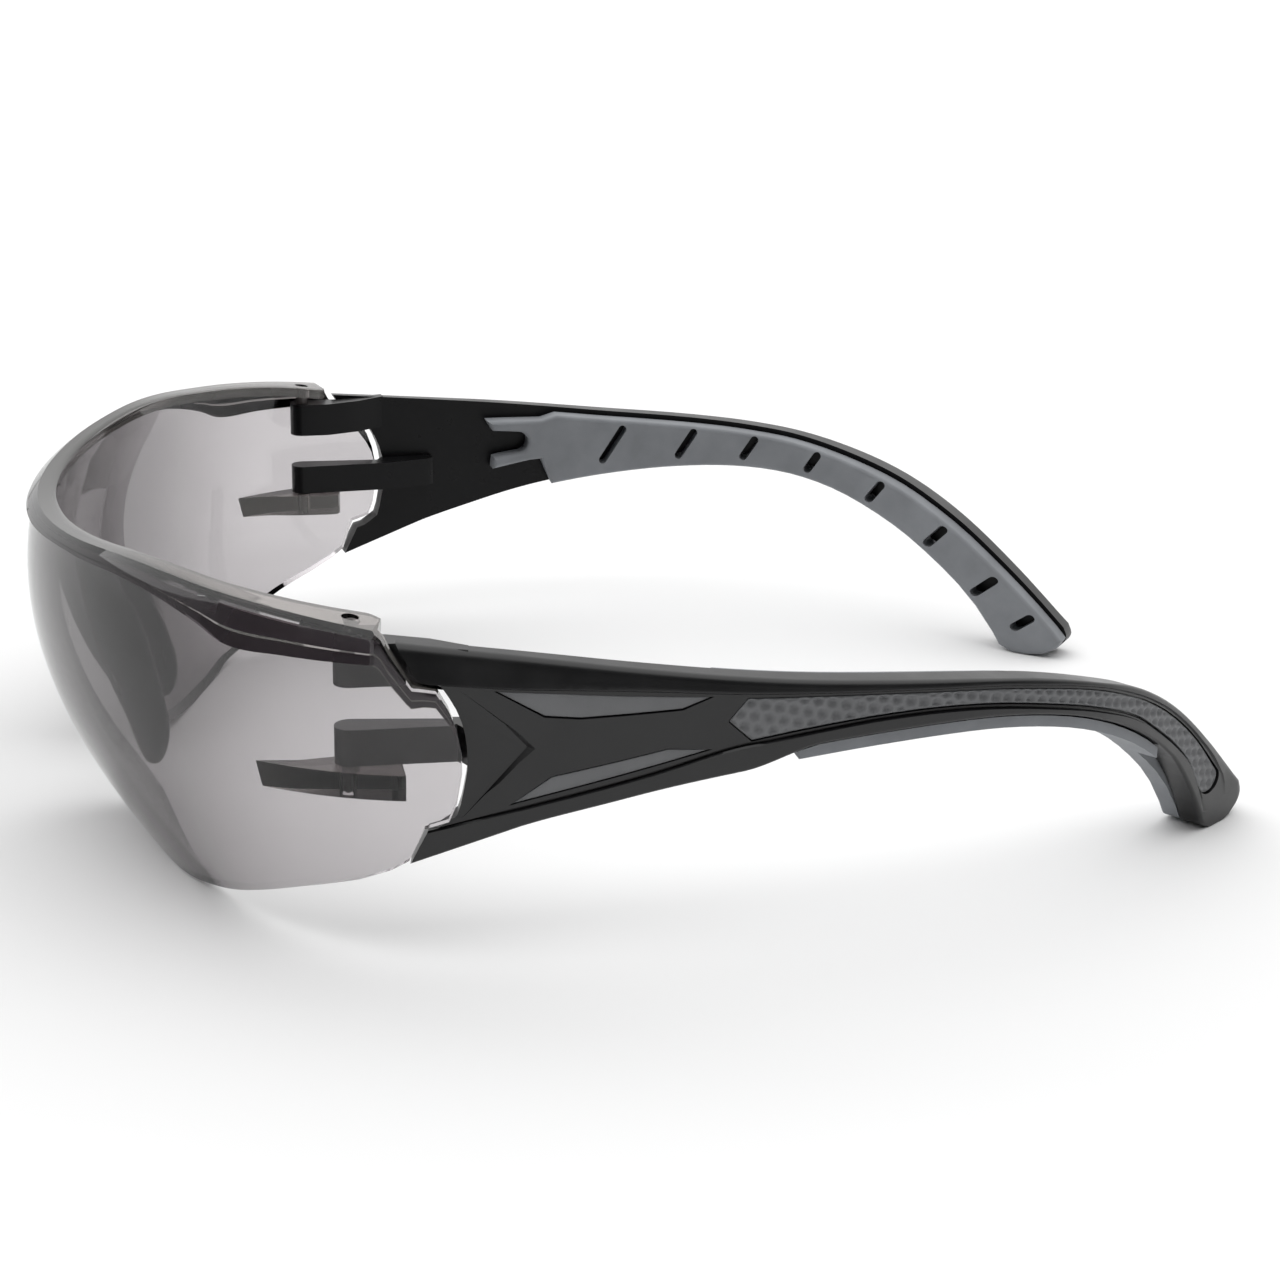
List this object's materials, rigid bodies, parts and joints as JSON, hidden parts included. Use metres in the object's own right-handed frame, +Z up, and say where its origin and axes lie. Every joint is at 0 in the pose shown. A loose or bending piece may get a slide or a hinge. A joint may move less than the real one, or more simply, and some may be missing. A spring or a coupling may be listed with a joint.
{
  "type": "safety glasses",
  "caption": "Wraparound safety glasses: one curved smoke lens with a moulded brow, a soft nose piece and folding padded temples.",
  "frame": {"origin": "centre of the bounding box's bottom face, on the table that the lens's lower edge and the temple tips stand on", "axes": "+Z up, -Y the way the wearer faces, +X the wearer's left"},
  "size_m": [0.1406, 0.1654, 0.044],
  "materials": {
    "lens": "smoke-tinted polycarbonate, polished",
    "nose_rubber": "soft moulded rubber",
    "black_plastic": "satin to gloss moulded nylon",
    "pad_rubber": "soft matt moulded rubber",
    "inlay_rubber": "soft matt moulded rubber, flush in the core",
    "pin_plastic": "moulded nylon"
  },
  "bodies": {
    "front": {"lens": "lens", "nose_piece": "nose_rubber"},
    "arm_left": {"temple_left": "black_plastic", "temple_pad_left": "pad_rubber", "grip_inlay_left": "inlay_rubber", "upper_window_left": "inlay_rubber", "lower_window_left": "inlay_rubber", "hinge_pin_upper_left": "pin_plastic", "hinge_pin_lower_left": "pin_plastic"},
    "arm_right": {"temple_right": "black_plastic", "temple_pad_right": "pad_rubber", "grip_inlay_right": "inlay_rubber", "upper_window_right": "inlay_rubber", "lower_window_right": "inlay_rubber", "hinge_pin_upper_right": "pin_plastic", "hinge_pin_lower_right": "pin_plastic"}
  },
  "joints": [
    {"name": "hinge_left", "type": "hinge", "parent": "front", "child": "arm_left", "pos_m": [0.0605, -0.0424, 0.03], "axis": [0, 0, 1], "range_deg": [0, 78]},
    {"name": "hinge_right", "type": "hinge", "parent": "front", "child": "arm_right", "pos_m": [-0.0605, -0.0424, 0.03], "axis": [0, 0, -1], "range_deg": [0, 40]}
  ]
}
